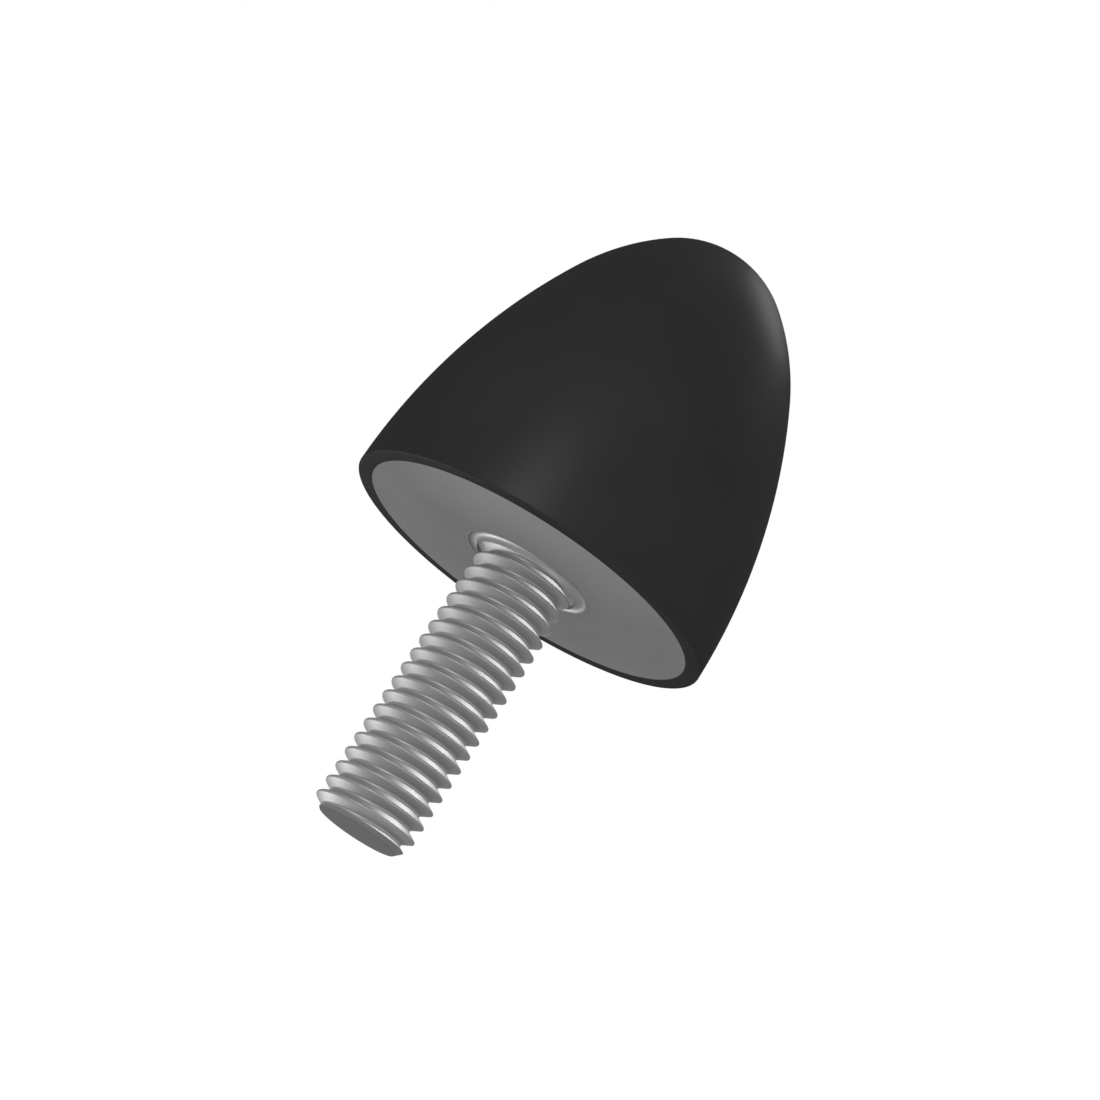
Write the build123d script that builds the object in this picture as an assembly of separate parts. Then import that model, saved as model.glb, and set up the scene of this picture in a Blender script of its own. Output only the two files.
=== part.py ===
from build123d import *
import math
import os

# A parabolic rubber buffer: a solid rubber nose moulded round a steel plate,
# with a threaded stud through the middle of the plate to screw it in place.
# The origin is the centre of the plate's seat face, which is the face that
# lands on the machine. +Z runs along the axis to the tip of the nose, and the
# stud points down -Z. All lengths are in millimetres and angles in degrees.

# Rubber nose. The leans are how far the side has leaned in where its long arc
# ends, and where the shoulder's arc ends and the round nose begins.
BODY_DIAMETER = 30.0
BODY_HEIGHT = 30.0
NOSE_RADIUS = 8.2
SIDE_LEAN = 25.8
SHOULDER_LEAN = 46.6

# Steel plate, set flush into the base of the rubber
RIM_WIDTH = 1.25
PLATE_THICKNESS = 2.0

# Threaded stud. The flare is a low hollow curve round its foot, where it
# spreads onto the plate.
THREAD_DIAMETER = 8.0
STUD_LENGTH = 23.2
END_CHAMFER = 0.8
FLARE_WIDTH = 1.4
FLARE_HEIGHT = 0.25
PRESS_CLEARANCE = 0.01

# Right-hand thread, whose flanks lean this much from square to the axis. The
# first crest's middle is this far below the seat face on the +X side. The rod
# is turned down to the crests from a little more, so that they are parts of one
# true cylinder.
THREAD_PITCH = 1.25
CREST_FLAT = THREAD_PITCH / 8
ROOT_FLAT = THREAD_PITCH / 6
FLANK_ANGLE = 30.0
FIRST_CREST = 0.46
TURNING_ALLOWANCE = 0.05

# Head of the stud, behind the plate and inside the rubber
HEAD_LEDGE = 1.6
HEAD_THICKNESS = 1.6
HEAD_CHAMFER = 0.4

body_radius = BODY_DIAMETER / 2
plate_radius = body_radius - RIM_WIDTH
thread_radius = THREAD_DIAMETER / 2
shank_radius = thread_radius + FLARE_WIDTH
head_radius = shank_radius + HEAD_LEDGE


def nose_arcs():
    """Radii of the side and shoulder arcs that lead smoothly from the base to the nose.

    The side starts upright at the base. Each arc carries on where the last
    one ends, so the widths that they cover add up to the body's radius and
    the heights add up to its height: two equations for two radii.
    """
    side = math.radians(SIDE_LEAN)
    shoulder = math.radians(SHOULDER_LEAN)
    width_side = 1 - math.cos(side)
    width_shoulder = math.cos(side) - math.cos(shoulder)
    rise_side = math.sin(side)
    rise_shoulder = math.sin(shoulder) - math.sin(side)
    width = body_radius - NOSE_RADIUS * math.cos(shoulder)
    rise = BODY_HEIGHT - NOSE_RADIUS * (1 - math.sin(shoulder))
    scale = width_side * rise_shoulder - width_shoulder * rise_side
    side_radius = (width * rise_shoulder - width_shoulder * rise) / scale
    shoulder_radius = (width_side * rise - rise_side * width) / scale
    return side_radius, shoulder_radius


def turned(*outline):
    """A solid turned about the Z axis from a closed outline in the XZ plane."""
    return revolve(Plane.XZ * make_face(outline), Axis.Z)


# The nose, as if it were rubber all through
side_radius, shoulder_radius = nose_arcs()
side_arc = JernArc((body_radius, 0), (0, 1), side_radius, SIDE_LEAN)
shoulder_arc = JernArc(side_arc @ 1, side_arc % 1, shoulder_radius, SHOULDER_LEAN - SIDE_LEAN)
nose_arc = JernArc(shoulder_arc @ 1, shoulder_arc % 1, NOSE_RADIUS, 90 - SHOULDER_LEAN)
nose = turned(
    side_arc,
    shoulder_arc,
    nose_arc,
    Polyline(nose_arc @ 1, (0, 0), (body_radius, 0)),
)

# The steel plate, with the hole that the stud's shank is pressed into
on_seat_face = (Align.CENTER, Align.CENTER, Align.MIN)
plate_disc = Cylinder(plate_radius, PLATE_THICKNESS, align=on_seat_face)
plate_hole = Cylinder(shank_radius + PRESS_CLEARANCE, PLATE_THICKNESS, align=on_seat_face)
base_plate = plate_disc - plate_hole


def helix_turn(radius, height):
    """One turn of a helix that starts on the +X side at a height and rises by one pitch."""
    return Edge.make_helix(THREAD_PITCH, THREAD_PITCH, radius).translate((0, 0, height))


def threaded_rod(bottom, top):
    """A threaded rod that runs a little past two heights, with its crests a little over size.

    Each turn is four strips between helices: root, flank, crest and flank. The
    rod ends as a helix ends by itself: one winding face goes from the axis out
    to the last helix, and one upright face takes up the step that this leaves.
    """
    slope = math.tan(math.radians(FLANK_ANGLE))
    depth = (THREAD_PITCH - CREST_FLAT - ROOT_FLAT) / 2 / slope
    root_radius = thread_radius - depth
    outer_radius = thread_radius + TURNING_ALLOWANCE
    flank_rise = (depth + TURNING_ALLOWANCE) * slope
    section = [
        (root_radius, 0),
        (root_radius, ROOT_FLAT),
        (outer_radius, ROOT_FLAT + flank_rise),
        (outer_radius, THREAD_PITCH - flank_rise),
        (root_radius, THREAD_PITCH),
    ]
    first_root = -FIRST_CREST - (THREAD_PITCH + ROOT_FLAT) / 2
    spare_turns = 1
    lowest = math.floor((bottom - first_root) / THREAD_PITCH) - 1 - spare_turns
    highest = math.ceil((top - first_root) / THREAD_PITCH) + spare_turns
    faces = []
    for turn in range(lowest, highest):
        height = first_root + turn * THREAD_PITCH
        helices = [helix_turn(radius, height + rise) for radius, rise in section]
        for lower, upper in zip(helices, helices[1:]):
            faces.append(Face.make_surface_from_curves(lower, upper))
    for turn in (lowest, highest):
        height = first_root + turn * THREAD_PITCH
        axis_ends = [(0, 0, height), (0, 0, height + THREAD_PITCH)]
        axis_line = Edge.make_line(*axis_ends)
        faces.append(Face.make_surface_from_curves(axis_line, helix_turn(root_radius, height)))
        step = [(radius, 0, height + rise) for radius, rise in section]
        faces.append(Face(Wire.make_polygon([axis_ends[0], *step, axis_ends[1]])))
    return Solid(Shell(faces))


# The stud's threaded part, from its end up to the flare. It is kept inside a
# turned blank, which gives it the end's chamfer and the crests' cylinder.
rod = threaded_rod(-STUD_LENGTH, -FLARE_HEIGHT)
blank = turned(
    Polyline(
        (0, -STUD_LENGTH),
        (thread_radius - END_CHAMFER, -STUD_LENGTH),
        (thread_radius, END_CHAMFER - STUD_LENGTH),
        (thread_radius, -FLARE_HEIGHT),
        (0, -FLARE_HEIGHT),
        close=True,
    )
)

# The stud's foot: the flare's hollow curve, the shank in the plate and the
# head behind it. The curve leaves the seat face level and drops by the flare's
# height over its width.
flare_radius = (FLARE_WIDTH**2 + FLARE_HEIGHT**2) / (2 * FLARE_HEIGHT)
flare_turn = math.degrees(math.asin(FLARE_WIDTH / flare_radius))
flare = JernArc((shank_radius, 0), (-1, 0), flare_radius, flare_turn)
head_top = PLATE_THICKNESS + HEAD_THICKNESS
foot = turned(
    flare,
    Polyline(
        flare @ 1,
        (0, -FLARE_HEIGHT),
        (0, head_top),
        (head_radius - HEAD_CHAMFER, head_top),
        (head_radius, head_top - HEAD_CHAMFER),
        (head_radius, PLATE_THICKNESS),
        (shank_radius, PLATE_THICKNESS),
        flare @ 0,
    ),
)
threaded_stud = (rod & blank) + foot

# The rubber body is what is left of the nose round the plate and the stud's
# foot, because the rubber is moulded and bonded to them with no gap
rubber_body = nose - plate_disc - foot

os.makedirs("parts", exist_ok=True)
pieces = {
    "rubber_body": rubber_body,
    "base_plate": base_plate,
    "threaded_stud": threaded_stud,
}
for name, piece in pieces.items():
    export_step(piece, f"parts/{name}.step")
    print(name, "volume", round(piece.volume, 1), "mm3, solids", len(piece.solids()))
print("side arc", round(side_radius, 2), "mm, shoulder arc", round(shoulder_radius, 2), "mm")
print("thread from", -FLARE_HEIGHT, "to", -STUD_LENGTH, "mm, pitch", THREAD_PITCH, "mm")
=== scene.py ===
# %% [markdown]
# # A rubber buffer
# A small end stop for machines. A solid rubber nose takes the knock, a steel
# plate lies flush in its base, and a threaded stud screws it in place. The
# solid model comes first, as a fixed frame in metres: new pieces are made
# round it, and it is never moved.

# %% Load the frame
import math

import bmesh
import bpy
from mathutils import Matrix, Vector


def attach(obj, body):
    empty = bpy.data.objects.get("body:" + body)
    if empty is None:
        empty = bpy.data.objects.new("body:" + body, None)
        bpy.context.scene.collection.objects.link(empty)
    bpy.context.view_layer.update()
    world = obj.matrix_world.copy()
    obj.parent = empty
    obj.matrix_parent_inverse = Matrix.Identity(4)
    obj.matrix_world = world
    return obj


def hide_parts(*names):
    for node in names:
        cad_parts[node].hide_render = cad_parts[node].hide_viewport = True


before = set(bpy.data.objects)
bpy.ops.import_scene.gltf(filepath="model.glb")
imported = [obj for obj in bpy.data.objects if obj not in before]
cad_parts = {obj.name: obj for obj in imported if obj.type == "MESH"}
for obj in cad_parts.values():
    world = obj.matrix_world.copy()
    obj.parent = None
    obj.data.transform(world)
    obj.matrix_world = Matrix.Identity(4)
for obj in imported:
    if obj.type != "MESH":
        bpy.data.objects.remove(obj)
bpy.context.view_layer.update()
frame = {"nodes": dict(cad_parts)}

print("nodes:", ", ".join(frame["nodes"]))

# %% [markdown]
# ## Sizes
# The sizes are in millimetres, as on a workshop drawing. Each piece is
# modelled in millimetres too, and its mesh is scaled to metres at the end,
# so the numbers below can be read as they stand.

# %% Sizes of the buffer
MM = 0.001
BODY_RADIUS = 15.0
BODY_HEIGHT = 30.0
PLATE_RADIUS = 13.75
PLATE_THICKNESS = 2.0
SHANK_RADIUS = 5.4
HEAD_RADIUS = 7.0
HEAD_TOP = 3.6
HEAD_CHAMFER = 0.4
STUD_LENGTH = 23.2

# %% [markdown]
# ## From a mesh to a finished piece
# Both new pieces end in the same way, so that is one helper. It merges
# vertices that share a place, turns the faces outwards, scales the mesh to
# metres and shades it smooth, apart from edges that are sharper than a given
# angle. Then it says which body the piece rides on and which part of the
# frame it stands for.

# %% A helper that finishes a piece
SAME_PLACE = 0.0005


def finish_piece(name, bm, sharp_angle, node):
    """A piece from a bmesh in millimetres, in place of one node of the frame."""
    bmesh.ops.remove_doubles(bm, verts=bm.verts, dist=SAME_PLACE)
    bmesh.ops.dissolve_degenerate(bm, edges=bm.edges, dist=SAME_PLACE)
    bmesh.ops.recalc_face_normals(bm, faces=bm.faces)
    bmesh.ops.scale(bm, vec=(MM, MM, MM), verts=bm.verts)
    mesh = bpy.data.meshes.new(name)
    bm.to_mesh(mesh)
    bm.free()
    mesh.shade_smooth()
    mesh.set_sharp_from_angle(angle=math.radians(sharp_angle))
    piece = bpy.data.objects.new(name, mesh)
    bpy.context.collection.objects.link(piece)
    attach(piece, "root")
    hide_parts(node)
    print(name, "has", len(mesh.polygons), "faces")
    return piece


# %% [markdown]
# ## Outlines
# Every piece here is round, so each starts as an outline in the upright
# plane through the axis: X is the distance from the axis and Z the height.
# A line of the outline is a new vertex joined to the last one. An arc is the
# last vertex spun about the arc's centre, because spinning one vertex leaves
# a row of short edges behind it. Spinning the finished outline once round
# the axis then gives the whole surface.

# %% Helpers that draw an outline and turn it
def line_to(bm, start, radius, height):
    """Draws a straight edge from a vertex to a new one."""
    end = bm.verts.new((radius, 0, height))
    bm.edges.new((start, end))
    return end


def arc_to(bm, start, centre, turn, steps):
    """Draws an arc by spinning a vertex about a centre. A positive turn goes from +X up to +Z."""
    spun = bmesh.ops.spin(
        bm, geom=[start], cent=(centre[0], 0, centre[1]), axis=(0, 1, 0), angle=-turn, steps=steps
    )
    return next(v for v in spun["geom_last"] if isinstance(v, bmesh.types.BMVert))


def turn_outline(bm, steps):
    """Turns an outline about the axis into a closed surface."""
    bmesh.ops.spin(
        bm,
        geom=bm.verts[:] + bm.edges[:],
        cent=(0, 0, 0),
        axis=(0, 0, 1),
        angle=2 * math.pi,
        steps=steps,
        use_merge=True,
    )
    bmesh.ops.remove_doubles(bm, verts=bm.verts, dist=SAME_PLACE)
    bmesh.ops.recalc_face_normals(bm, faces=bm.faces)


# %% [markdown]
# ## The rubber nose
# The real one is pressed in a mould round the plate. Its outline is three
# arcs that run smoothly into each other: a long flat one up the side, a
# rounder shoulder and a small round tip. A stretched ball would be quicker,
# but its side would bulge too much. So the arcs are drawn one after the
# other, each about a centre on the line through its first point.

# %% Arcs of the nose
NOSE_RADIUS = 8.2
SIDE_LEAN = math.radians(25.8)
SHOULDER_LEAN = math.radians(46.6)
STEP_ANGLE = math.radians(1.1)


def nose_arcs():
    """Radii of the side and shoulder arcs: their widths and heights add up to the nose's."""
    width_side = 1 - math.cos(SIDE_LEAN)
    width_shoulder = math.cos(SIDE_LEAN) - math.cos(SHOULDER_LEAN)
    rise_side = math.sin(SIDE_LEAN)
    rise_shoulder = math.sin(SHOULDER_LEAN) - math.sin(SIDE_LEAN)
    width = BODY_RADIUS - NOSE_RADIUS * math.cos(SHOULDER_LEAN)
    rise = BODY_HEIGHT - NOSE_RADIUS * (1 - math.sin(SHOULDER_LEAN))
    scale = width_side * rise_shoulder - width_shoulder * rise_side
    side = (width * rise_shoulder - width_shoulder * rise) / scale
    shoulder = (width_side * rise - rise_side * width) / scale
    print("side arc", round(side, 2), "mm, shoulder arc", round(shoulder, 2), "mm")
    return side, shoulder


def draw_nose(bm, corner):
    """Draws the three arcs from the base's corner to the tip."""
    side, shoulder = nose_arcs()
    leans = (0, SIDE_LEAN, SHOULDER_LEAN, math.pi / 2)
    for radius, lean, next_lean in zip((side, shoulder, NOSE_RADIUS), leans, leans[1:]):
        centre = (
            corner.co.x - radius * math.cos(lean),
            corner.co.z - radius * math.sin(lean),
        )
        turn = next_lean - lean
        corner = arc_to(bm, corner, centre, turn, math.ceil(turn / STEP_ANGLE))
    print("tip of the nose at", round(corner.co.x, 4), round(corner.co.z, 4))
    corner.co = (0, 0, BODY_HEIGHT)


# %% [markdown]
# The rubber also fills the space behind the plate and round the stud's head,
# so the outline goes on inside as a stepped hollow. The mould leaves a very
# small round at the outer edge of the base. It is a bevel of that one ring,
# so that the edge catches a little light as a real one does.

# %% The rubber body
EDGE_ROUND = 0.1
ROUND_STEPS = 4
NOSE_STEPS = 256
NOSE_SHARP_ANGLE = 35
bm = bmesh.new()
base_corner = bm.verts.new((BODY_RADIUS, 0, 0))
draw_nose(bm, base_corner)
hollow = line_to(bm, base_corner, PLATE_RADIUS, 0)
hollow = line_to(bm, hollow, PLATE_RADIUS, PLATE_THICKNESS)
hollow = line_to(bm, hollow, HEAD_RADIUS, PLATE_THICKNESS)
hollow = line_to(bm, hollow, HEAD_RADIUS, HEAD_TOP - HEAD_CHAMFER)
hollow = line_to(bm, hollow, HEAD_RADIUS - HEAD_CHAMFER, HEAD_TOP)
line_to(bm, hollow, 0, HEAD_TOP)
turn_outline(bm, NOSE_STEPS)
rim = [
    e for e in bm.edges
    if all(abs(v.co.z) < SAME_PLACE and v.co.xy.length > BODY_RADIUS - SAME_PLACE for v in e.verts)
]
bmesh.ops.bevel(
    bm,
    geom=rim,
    offset=EDGE_ROUND,
    offset_type="OFFSET",
    affect="EDGES",
    segments=ROUND_STEPS,
    profile=0.5,
    material=-1,
)
rubber = finish_piece("rubber_nose", bm, NOSE_SHARP_ANGLE, "rubber_body")

# %% [markdown]
# ## The stud
# The stud has a rolled thread, 8 mm across with 1.25 mm from crest to crest.
# One groove and one crest are drawn as an outline and spun round the axis
# while they rise by one pitch a turn, which is how a thread is cut on a
# lathe. The corners are rounded a little with a vertex bevel before the
# spin, as rolling leaves them.

# %% Outline of one pitch of the thread
PITCH = 1.25
CREST_RADIUS = 4.0
ROOT_RADIUS = 3.233
CREST_FLAT = PITCH / 8
ROOT_FLAT = PITCH / 6
CREST_ROUND = 0.07
CREST_ROUND_STEPS = 3
CREST_HEIGHT = -0.46
TURN_STEPS = 120


def draw_thread_pitch(bm, crest_height):
    """Draws one pitch from mid-root to mid-root, with its corners rounded."""
    start = bm.verts.new((ROOT_RADIUS, 0, crest_height - PITCH / 2))
    flank_reach = (PITCH - ROOT_FLAT) / 2
    corner = start
    corners = []
    for radius, height in (
        (ROOT_RADIUS, -flank_reach),
        (CREST_RADIUS, -CREST_FLAT / 2),
        (CREST_RADIUS, CREST_FLAT / 2),
        (ROOT_RADIUS, flank_reach),
    ):
        corner = line_to(bm, corner, radius, crest_height + height)
        corners.append(corner)
    line_to(bm, corner, ROOT_RADIUS, crest_height + PITCH / 2)
    bmesh.ops.bevel(
        bm,
        geom=corners,
        offset=CREST_ROUND,
        offset_type="OFFSET",
        affect="VERTICES",
        segments=CREST_ROUND_STEPS,
        profile=0.5,
        material=-1,
    )


# %% [markdown]
# A spin gets slow when it grows to thousands of steps, so only one turn is
# spun. The other turns are copies of it, each one pitch higher, and their
# shared edges are merged. The thread starts below the stud's end and stops
# above the plate, so both ends can be cut square and filled.

# %% The thread, spun as a helix
SAME_TURN = 0.002


def spun_thread(bottom, top):
    """A closed threaded rod between two heights."""
    bm = bmesh.new()
    turns_down = math.ceil((CREST_HEIGHT - bottom) / PITCH) + 1
    turns = turns_down + math.ceil((top - CREST_HEIGHT) / PITCH) + 1
    draw_thread_pitch(bm, CREST_HEIGHT - turns_down * PITCH)
    bmesh.ops.spin(
        bm,
        geom=bm.verts[:] + bm.edges[:],
        cent=(0, 0, 0),
        axis=(0, 0, 1),
        dvec=(0, 0, PITCH / TURN_STEPS),
        angle=2 * math.pi,
        steps=TURN_STEPS,
    )
    first_turn = bm.verts[:] + bm.edges[:] + bm.faces[:]
    for turn in range(1, turns):
        copy = bmesh.ops.duplicate(bm, geom=first_turn)
        higher = [v for v in copy["geom"] if isinstance(v, bmesh.types.BMVert)]
        bmesh.ops.translate(bm, vec=(0, 0, turn * PITCH), verts=higher)
    bmesh.ops.remove_doubles(bm, verts=bm.verts, dist=SAME_TURN)
    for height, facing in ((top, 1), (bottom, -1)):
        bmesh.ops.bisect_plane(
            bm,
            geom=bm.verts[:] + bm.edges[:] + bm.faces[:],
            plane_co=(0, 0, height),
            plane_no=(0, 0, facing),
            clear_outer=True,
        )
    ends = [e for e in bm.edges if e.is_boundary]
    bmesh.ops.holes_fill(bm, edges=ends, sides=0)
    bmesh.ops.recalc_face_normals(bm, faces=bm.faces)
    print("threaded rod:", turns, "turns,", len(bm.faces), "faces,", len(ends), "end edges")
    return bm


# %% [markdown]
# Two turned shapes finish the stud. One is the blank that the thread is cut
# in, with the chamfer at its end: the rod is kept only where it lies inside.
# The other is the foot, which is joined to the rod: the shank in the plate and
# the head inside the rubber. A ring is sunk round the thread where it leaves
# the plate. Its outline is one hollow arc, from the plate's face down and up
# again to a thin lip beside the thread. Inside the lip is a narrow well, so
# that the groove can be seen to run on almost to the plate.

# %% Blank and foot of the stud
END_CHAMFER = 0.8
BLANK_RADIUS = CREST_RADIUS + 0.2
BLANK_TOP = 1.5
HOLLOW_RADIUS = 0.53
HOLLOW_DIP = 0.18
HOLLOW_MIDDLE = 4.81
HOLLOW_STEPS = 24
WELL_RADIUS = CREST_RADIUS + 0.29
WELL_TOP = 0.06
STUD_STEPS = 192


def stud_blank():
    """The turned blank: a chamfered end and a body a little wider than the thread."""
    bm = bmesh.new()
    edge = bm.verts.new((0, 0, -STUD_LENGTH))
    edge = line_to(bm, edge, CREST_RADIUS - END_CHAMFER, -STUD_LENGTH)
    wider = BLANK_RADIUS - CREST_RADIUS
    edge = line_to(bm, edge, BLANK_RADIUS, -STUD_LENGTH + END_CHAMFER + wider)
    edge = line_to(bm, edge, BLANK_RADIUS, BLANK_TOP)
    line_to(bm, edge, 0, BLANK_TOP)
    turn_outline(bm, STUD_STEPS)
    return bm


def stud_foot():
    """The sunk ring round the thread's foot, the shank and the head."""
    bm = bmesh.new()
    centre = (HOLLOW_MIDDLE, HOLLOW_DIP - HOLLOW_RADIUS)
    at_face = math.asin(-centre[1] / HOLLOW_RADIUS)
    at_well = math.pi - math.acos((centre[0] - WELL_RADIUS) / HOLLOW_RADIUS)
    rim = bm.verts.new((SHANK_RADIUS, 0, 0))
    edge = line_to(bm, rim, centre[0] + HOLLOW_RADIUS * math.cos(at_face), 0)
    edge = arc_to(bm, edge, centre, at_well - at_face, HOLLOW_STEPS)
    print("sunk ring: its lip is at", round(edge.co.x, 3), round(edge.co.z, 3))
    edge = line_to(bm, edge, WELL_RADIUS, WELL_TOP)
    line_to(bm, edge, 0, WELL_TOP)
    shank = line_to(bm, rim, SHANK_RADIUS, PLATE_THICKNESS)
    head = line_to(bm, shank, HEAD_RADIUS, PLATE_THICKNESS)
    head = line_to(bm, head, HEAD_RADIUS, HEAD_TOP - HEAD_CHAMFER)
    head = line_to(bm, head, HEAD_RADIUS - HEAD_CHAMFER, HEAD_TOP)
    line_to(bm, head, 0, HEAD_TOP)
    turn_outline(bm, STUD_STEPS)
    return bm


# %% Join the parts of the stud
SPARE_THREAD = 0.6
THREAD_TOP = 0.8
STUD_SHARP_ANGLE = 32


def helper_object(name, bm):
    """A plain object from a bmesh, for a modifier to read."""
    mesh = bpy.data.meshes.new(name)
    bm.to_mesh(mesh)
    bm.free()
    helper = bpy.data.objects.new(name, mesh)
    bpy.context.collection.objects.link(helper)
    return helper


rod = helper_object("threaded_rod", spun_thread(-STUD_LENGTH - SPARE_THREAD, THREAD_TOP))
blank = helper_object("blank", stud_blank())
foot = helper_object("foot", stud_foot())
for tool, operation in ((blank, "INTERSECT"), (foot, "UNION")):
    join = rod.modifiers.new(tool.name, "BOOLEAN")
    join.operation = operation
    join.object = tool
    join.solver = "EXACT"
depsgraph = bpy.context.evaluated_depsgraph_get()
joined = bpy.data.meshes.new_from_object(rod.evaluated_get(depsgraph))
bm = bmesh.new()
bm.from_mesh(joined)
for helper in (rod, blank, foot):
    bpy.data.objects.remove(helper)
open_edges = sum(not e.is_manifold for e in bm.edges)
print("stud:", len(bm.faces), "faces,", open_edges, "open edges")
stud = finish_piece(
    "threaded_stud_rolled", bm, STUD_SHARP_ANGLE, "threaded_stud"
)

# %% [markdown]
# ## Effects that the finishes share
# A real surface is never one flat value. Three effects are used by more than
# one finish, so each is a node group that is built once: soft patches, where
# the surface is a touch lighter or duller, a fine grain, and the rings that a
# lathe leaves. They read Object coordinates, which are metres, and count in
# millimetres from there, so a size given to a group is a real size.

# %% Helpers for nodes
def calculated(tree, operation, first, second):
    """The result of a math node. Each input is a number or another node's socket."""
    node = tree.nodes.new("ShaderNodeMath")
    node.operation = operation
    for socket, value in zip(node.inputs, (first, second)):
        if isinstance(value, (int, float)):
            socket.default_value = value
        else:
            tree.links.new(value, socket)
    return node.outputs[0]


def own_place(tree):
    """The place on the piece itself, in metres."""
    return tree.nodes.new("ShaderNodeTexCoord").outputs["Object"]


def height_of(tree, place):
    """The height of a place above the seat face."""
    split = tree.nodes.new("ShaderNodeSeparateXYZ")
    tree.links.new(place, split.inputs[0])
    return split.outputs["Z"]


def from_axis(tree, place):
    """The distance of a place from the axis."""
    flat = tree.nodes.new("ShaderNodeVectorMath")
    flat.operation = "MULTIPLY"
    flat.inputs[1].default_value = (1, 1, 0)
    tree.links.new(place, flat.inputs[0])
    distance = tree.nodes.new("ShaderNodeVectorMath")
    distance.operation = "LENGTH"
    tree.links.new(flat.outputs[0], distance.inputs[0])
    return distance.outputs["Value"]


def effect_group(name, size, output):
    """A shader group with a size in millimetres going in and one value coming out."""
    group = bpy.data.node_groups.new(name, "ShaderNodeTree")
    kind = "NodeSocketFloat"
    socket = group.interface.new_socket("Size", in_out="INPUT", socket_type=kind)
    socket.default_value = size
    group.interface.new_socket(output, in_out="OUTPUT", socket_type=kind)
    in_mm = group.nodes.new("ShaderNodeVectorMath")
    in_mm.operation = "SCALE"
    in_mm.inputs["Scale"].default_value = 1 / MM
    group.links.new(own_place(group), in_mm.inputs[0])
    size_in = group.nodes.new("NodeGroupInput").outputs["Size"]
    per_mm = calculated(group, "DIVIDE", 1, size_in)
    result = group.nodes.new("NodeGroupOutput")
    return group, in_mm.outputs[0], per_mm, result.inputs[output]


def noise_in(tree, place, scale, detail):
    """A noise texture in a node tree."""
    noise = tree.nodes.new("ShaderNodeTexNoise")
    noise.inputs["Detail"].default_value = detail
    tree.links.new(place, noise.inputs["Vector"])
    tree.links.new(scale, noise.inputs["Scale"])
    return noise.outputs[0]


def stretched(tree, value, low, high, new_low=0.0, new_high=1.0):
    """A value stretched from one range to another and kept inside it."""
    ramp = tree.nodes.new("ShaderNodeMapRange")
    bounds = {"From Min": low, "From Max": high, "To Min": new_low, "To Max": new_high}
    for label, bound in bounds.items():
        ramp.inputs[label].default_value = bound
    tree.links.new(value, ramp.inputs["Value"])
    return ramp.outputs[0]


# %% Soft patches
patches, place, per_mm, result = effect_group("soft patches", 6.0, "Mask")
cloud = noise_in(patches, place, per_mm, 3.0)
patches.links.new(stretched(patches, cloud, 0.3, 0.7), result)

# %% Fine grain
grain, place, per_mm, result = effect_group("fine grain", 0.15, "Height")
grain.links.new(noise_in(grain, place, per_mm, 2.0), result)

# %% [markdown]
# The rings go round the axis. On the flat of the plate they follow the
# distance from the axis, and along the stud they follow the height, so the
# two are added and drive a noise that has only this one coordinate.

# %% Turned rings
rings, place, per_mm, result = effect_group("turned rings", 0.2, "Height")
along = calculated(rings, "ADD", from_axis(rings, place), height_of(rings, place))
lines = rings.nodes.new("ShaderNodeTexNoise")
lines.noise_dimensions = "1D"
lines.inputs["Detail"].default_value = 3.0
rings.links.new(along, lines.inputs["W"])
rings.links.new(per_mm, lines.inputs["Scale"])
rings.links.new(lines.outputs[0], result)
print("effects:", ", ".join(group.name for group in (patches, grain, rings)))

# %% [markdown]
# ## Helpers for a finish
# Each finish is a Principled shader. Values that are the same all over are
# set on its own sockets. What changes over the surface comes from the groups:
# a colour and a roughness that drift a little, and a bump. The bump's height
# is a few thousandths of a millimetre, as on the real surfaces.

# %% Helpers for a finish
def principled(name, colour, roughness, metallic=0.0):
    """A new material and its shader, with plain values on the shader's own sockets."""
    material = bpy.data.materials.new(name)
    material.use_nodes = True
    shader = material.node_tree.nodes["Principled BSDF"]
    shader.inputs["Base Color"].default_value = (*colour, 1)
    shader.inputs["Roughness"].default_value = roughness
    shader.inputs["Metallic"].default_value = metallic
    return material, shader


def effect(tree, group, size):
    """Places a group in a material and gives it its size in millimetres."""
    node = tree.nodes.new("ShaderNodeGroup")
    node.node_tree = group
    node.inputs["Size"].default_value = size
    return node.outputs[0]


def vary_colour(tree, mask, low, high, socket):
    """Drives a colour socket from one colour to another, each a plain one or another node's."""
    mix = tree.nodes.new("ShaderNodeMix")
    mix.data_type = "RGBA"
    colour_sockets = [s for s in mix.inputs if s.type == "RGBA"]
    for colour_socket, colour in zip(colour_sockets, (low, high)):
        if isinstance(colour, tuple):
            colour_socket.default_value = (*colour, 1)
        else:
            tree.links.new(colour, colour_socket)
    tree.links.new(mask, mix.inputs["Factor"])
    result = next(s for s in mix.outputs if s.type == "RGBA")
    tree.links.new(result, socket)
    return result


def add_bump(tree, height, rise, shader, under=None):
    """Lifts the surface by a height map, with its rise in millimetres."""
    bump = tree.nodes.new("ShaderNodeBump")
    bump.inputs["Strength"].default_value = 1.0
    bump.inputs["Distance"].default_value = rise * MM
    tree.links.new(height, bump.inputs["Height"])
    if under:
        tree.links.new(under, bump.inputs["Normal"])
    tree.links.new(bump.outputs[0], shader.inputs["Normal"])
    return bump.outputs[0]


# %% [markdown]
# ## Moulded rubber
# The nose is nearly black, and its gloss is broad and weak. The shader's own
# gloss turns into a mirror at a flat angle, which would draw a pale line round
# the outline. So it is switched off, and a very thin coat takes its place:
# with a high IOR its shine is much the same from every side. Patches a few
# millimetres wide are a touch duller, where the mould was worn, and a very
# fine grain covers all of it.

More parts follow.
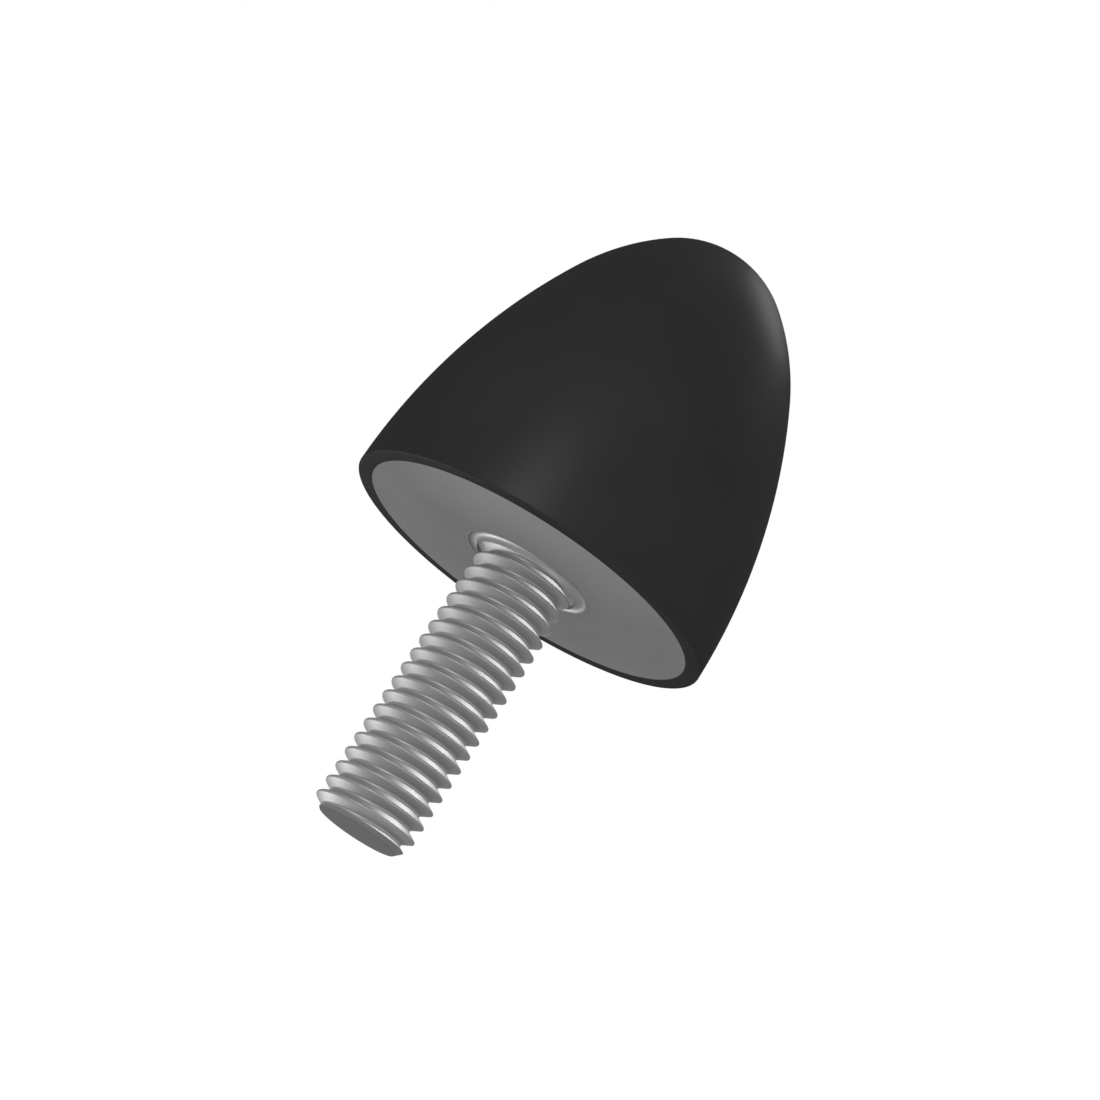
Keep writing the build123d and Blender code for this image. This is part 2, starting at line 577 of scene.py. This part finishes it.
# %% Rubber
RUBBER_DARK = (0.0145, 0.0145, 0.015)
RUBBER_LIGHT = (0.0175, 0.0175, 0.018)
rubber_finish, shader = principled("moulded rubber", RUBBER_DARK, 0.45)
shader.inputs["Specular IOR Level"].default_value = 0.0
shader.inputs["Coat Weight"].default_value = 0.035
shader.inputs["Coat IOR"].default_value = 3.5
shader.inputs["Coat Roughness"].default_value = 0.42
tree = rubber_finish.node_tree
mask = effect(tree, patches, 7.0)
vary_colour(tree, mask, RUBBER_DARK, RUBBER_LIGHT, shader.inputs["Base Color"])
tree.links.new(stretched(tree, mask, 0, 1, 0.42, 0.48), shader.inputs["Roughness"])
add_bump(tree, effect(tree, grain, 0.14), 0.004, shader)
rubber.data.materials.append(rubber_finish)

# %% [markdown]
# ## Satin plate
# The plate is a turned disc of sheet steel with a dull grey plating. Faint
# rings from the lathe are left in it, and the plating is cloudy: it isn't
# quite as dull everywhere. Towards one side the colour turns paler: a
# painted highlight, driven by the distance from a point beside the plate.

# %% Plate steel
PLATE_DARK = (0.135, 0.135, 0.135)
PLATE_LIGHT = (0.149, 0.149, 0.149)
# Painted highlight: a paler colour towards one side of the plate.
PLATE_PAINTED_HIGHLIGHT = (0.192, 0.192, 0.192)
HIGHLIGHT_POINT = (-2 * MM, -16 * MM, 0)
HIGHLIGHT_REACH = 4 * MM, 16 * MM
plate_finish, shader = principled("satin plated steel", PLATE_DARK, 0.55, 0.15)
shader.inputs["Specular IOR Level"].default_value = 0.0
tree = plate_finish.node_tree
mask = effect(tree, patches, 5.0)
away = tree.nodes.new("ShaderNodeVectorMath")
away.operation = "DISTANCE"
away.inputs[1].default_value = HIGHLIGHT_POINT
tree.links.new(own_place(tree), away.inputs[0])
# Painted highlight: the colour turns paler near the point beside the plate.
pale = stretched(tree, away.outputs["Value"], *HIGHLIGHT_REACH, 1, 0)
colour = vary_colour(tree, mask, PLATE_DARK, PLATE_LIGHT, shader.inputs["Base Color"])
vary_colour(tree, pale, colour, PLATE_PAINTED_HIGHLIGHT, shader.inputs["Base Color"])
tree.links.new(stretched(tree, mask, 0, 1, 0.52, 0.58), shader.inputs["Roughness"])
surface = add_bump(tree, effect(tree, grain, 0.1), 0.0008, shader)
add_bump(tree, effect(tree, rings, 0.25), 0.0008, shader, surface)
plate = frame["nodes"]["base_plate"]
plate.material_slots[0].material = plate_finish

# %% [markdown]
# ## Rolled and plated stud
# Rolling polishes the crests of a thread, and they are rubbed bright again
# whenever a nut goes on, while the groove keeps the duller plating. So the
# distance from the axis decides the roughness here. It decides the colour too,
# and that is painted light: the thread is lighter than the flat foot, to make
# up for the shade its turns cast on each other, and the groove, deepest in
# that shade, is a touch lighter still. Where it passes the sunk ring, the
# colour turns into the darker one of the flat, like the plate's.
# The flat end and the chamfer get a dark colour with no metal in it, which is
# painted shade: it keeps the lamps' light off them. The flat end is found by
# its height, and the chamfer by the radius less the height, which is the same
# all over such a cone. The tint darkens the metal where it is seen at a flat
# angle. The same rings as on the plate, finer, run along the thread.

# %% Stud steel
# Painted light: the thread's colours are lighter than the foot's, for the shade its turns cast.
GROOVE_WITH_PAINTED_FILL = (0.3, 0.3, 0.3)
CREST_WITH_PAINTED_FILL = (0.28, 0.28, 0.28)
STUD_FOOT = (0.18, 0.18, 0.18)
# Painted shade: the flat end and the chamfer are darker than the rest.
END_PAINTED_SHADE = (0.115, 0.115, 0.115)
CHAMFER_PAINTED_SHADE = (0.17, 0.17, 0.17)
EDGE_TINT = (0.4, 0.4, 0.4)
STUD_METAL = 0.66
FOOT_METAL = 0.65
GROOVE_ROUGHNESS = 0.51
CREST_ROUGHNESS = 0.46
FOOT_START = HOLLOW_MIDDLE + 0.1
FOOT_FULL = HOLLOW_MIDDLE + 0.4
CONE_SIZE = CREST_RADIUS - END_CHAMFER + STUD_LENGTH

stud_finish, shader = principled(
    "rolled and plated steel", GROOVE_WITH_PAINTED_FILL, CREST_ROUGHNESS, STUD_METAL
)
shader.inputs["Specular IOR Level"].default_value = 0.0
shader.inputs["Specular Tint"].default_value = (*EDGE_TINT, 1)
tree = stud_finish.node_tree
place = own_place(tree)
radius = from_axis(tree, place)
height = height_of(tree, place)
cone = calculated(tree, "SUBTRACT", radius, height)
on_crest = stretched(tree, radius, ROOT_RADIUS * MM, CREST_RADIUS * MM)
on_foot = stretched(tree, radius, FOOT_START * MM, FOOT_FULL * MM)
on_end = stretched(tree, height, (0.06 - STUD_LENGTH) * MM, (0.02 - STUD_LENGTH) * MM)
on_chamfer = stretched(tree, cone, (CONE_SIZE - 0.03) * MM, (CONE_SIZE - 0.01) * MM)
# Painted shade: the end and the chamfer lose their metal and turn dark.
painted_shade_mask = calculated(tree, "MAXIMUM", on_end, on_chamfer)

roughness = stretched(tree, on_crest, 0, 1, GROOVE_ROUGHNESS, CREST_ROUGHNESS)
tree.links.new(roughness, shader.inputs["Roughness"])
# Painted light on the thread's colours, painted shade on the end's and chamfer's.
colour = GROOVE_WITH_PAINTED_FILL
for mask, there in (
    (on_crest, CREST_WITH_PAINTED_FILL),
    (on_foot, STUD_FOOT),
    (on_chamfer, CHAMFER_PAINTED_SHADE),
    (on_end, END_PAINTED_SHADE),
):
    colour = vary_colour(tree, mask, colour, there, shader.inputs["Base Color"])
metal = stretched(tree, on_foot, 0, 1, STUD_METAL, FOOT_METAL)
# The rest of the stud keeps its metal; only the painted-shade end and chamfer lose it.
plated = calculated(tree, "SUBTRACT", 1, painted_shade_mask)
tree.links.new(calculated(tree, "MULTIPLY", metal, plated), shader.inputs["Metallic"])
surface = add_bump(tree, effect(tree, grain, 0.08), 0.0004, shader)
add_bump(tree, effect(tree, rings, 0.09), 0.0002, shader, surface)
stud.data.materials.append(stud_finish)

# %% [markdown]
# ## Camera
# The photograph looks up at the plate from a little below it, with the
# camera rolled to one side, through a long lens.

# %% Camera
CAMERA_PLACE = Vector((0.501, -190.416, -52.723))
LOOK_UP = 16.167
ROLL = 33.304
LENS = 86.62
camera_data = bpy.data.cameras.new("camera")
camera_data.lens = LENS
camera_data.sensor_width = 36.0
camera_data.clip_start = 0.01
camera_data.clip_end = 20.0
camera = bpy.data.objects.new("camera", camera_data)
camera.matrix_world = (
    Matrix.Translation(CAMERA_PLACE * MM)
    @ Matrix.Rotation(math.radians(90 + LOOK_UP), 4, "X")
    @ Matrix.Rotation(math.radians(ROLL), 4, "Z")
)
bpy.context.collection.objects.link(camera)
bpy.context.scene.camera = camera

# %% [markdown]
# ## Lamps
# Soft round lamps stand 30 cm from the object. Most are placed by the
# highlight that they make: the direction to such a lamp is the camera's line
# of sight mirrored in the surface where the highlight lies. The picture has
# no shadows on the object, and the nose would keep the light off the stud, so
# these lamps cast none. The one that hangs overhead does, for the floor.

# %% Lamps
LAMP_DISTANCE = 0.3
LAMP_SIZE = 0.12


def soft_lamp(name, direction, brightness, shadow):
    """A round lamp that faces the object. A face as bright as 1 would show as white."""
    data = bpy.data.lights.new(name, "AREA")
    data.shape = "DISK"
    data.size = LAMP_SIZE
    face_area = math.pi * LAMP_SIZE**2 / 4
    data.energy = brightness * math.pi * face_area
    data.use_shadow = shadow
    data.cycles.use_multiple_importance_sampling = shadow
    lamp = bpy.data.objects.new(name, data)
    towards = Vector(direction).normalized()
    lamp.location = towards * LAMP_DISTANCE
    lamp.rotation_mode = "QUATERNION"
    lamp.rotation_quaternion = towards.to_track_quat("Z", "Y")
    lamp.visible_camera = False
    bpy.context.collection.objects.link(lamp)


LAMPS = {
    "key": ((-0.39, -0.88, 0.22), 8.8, False),
    "over the nose": ((0.3, 0.47, 0.83), 20.0, False),
    "left of the stud": ((-0.36, 0.64, -0.68), 12.5, False),
    "right of the stud": ((0.6, -0.5, -0.62), 3.3, False),
    "overhead": ((0, 0.3, 1), 1.2, True),
}
for name, values in LAMPS.items():
    soft_lamp(name, *values)
print("lamps:", ", ".join(LAMPS))

# %% [markdown]
# ## World and floor
# The world lights the object evenly from all round. Rays from the camera, and
# those that a glossy or clear surface sends on, see it pure white instead,
# like the paper behind the object in the photograph.

# %% Rays that see white
def sees_white(tree):
    """1 for rays from the camera, from gloss and through glass, and 0 for light on the object."""
    rays = tree.nodes.new("ShaderNodeLightPath")
    seen = rays.outputs["Is Camera Ray"]
    for kind in ("Is Glossy Ray", "Is Transmission Ray"):
        seen = calculated(tree, "MAXIMUM", seen, rays.outputs[kind])
    return seen


# %% World
WORLD_LIGHT = 0.5
world = bpy.data.worlds.new("studio")
world.use_nodes = True
bpy.context.scene.world = world
tree = world.node_tree
light = tree.nodes["Background"]
light.inputs["Color"].default_value = (1, 1, 1, 1)
light.inputs["Strength"].default_value = WORLD_LIGHT
white = tree.nodes.new("ShaderNodeBackground")
white.inputs["Color"].default_value = (1, 1, 1, 1)
white.inputs["Strength"].default_value = 1.0
blend = tree.nodes.new("ShaderNodeMixShader")
tree.links.new(sees_white(tree), blend.inputs[0])
tree.links.new(light.outputs[0], blend.inputs[1])
tree.links.new(white.outputs[0], blend.inputs[2])
tree.links.new(blend.outputs[0], tree.nodes["World Output"].inputs["Surface"])

# %% [markdown]
# The buffer is held by its stud and stands on nothing, so the floor lies well
# below it. The floor is a pale disc that fades out at its rim, because a
# sharp edge would draw a line across the picture.

# %% Floor
FLOOR_RADIUS = 1.2
FLOOR_HEIGHT = -0.2
FADE_START = 0.35
FLOOR_COLOUR = (0.88, 0.88, 0.88)
floor_bm = bmesh.new()
bmesh.ops.create_circle(floor_bm, cap_ends=True, segments=128, radius=FLOOR_RADIUS)
bmesh.ops.translate(floor_bm, vec=(0, 0, FLOOR_HEIGHT), verts=floor_bm.verts)
floor_mesh = bpy.data.meshes.new("floor")
floor_bm.to_mesh(floor_mesh)
floor_bm.free()
floor = bpy.data.objects.new("floor", floor_mesh)
bpy.context.collection.objects.link(floor)
floor_finish, shader = principled("pale floor", FLOOR_COLOUR, 0.8)
tree = floor_finish.node_tree
gone = stretched(tree, from_axis(tree, own_place(tree)), FADE_START, FLOOR_RADIUS)
clear = tree.nodes.new("ShaderNodeBsdfTransparent")
fade = tree.nodes.new("ShaderNodeMixShader")
tree.links.new(gone, fade.inputs[0])
tree.links.new(shader.outputs[0], fade.inputs[1])
tree.links.new(clear.outputs[0], fade.inputs[2])
tree.links.new(fade.outputs[0], tree.nodes["Material Output"].inputs["Surface"])
floor_mesh.materials.append(floor_finish)

# %% Finish
scene = bpy.context.scene
scene.view_settings.view_transform = "Standard"
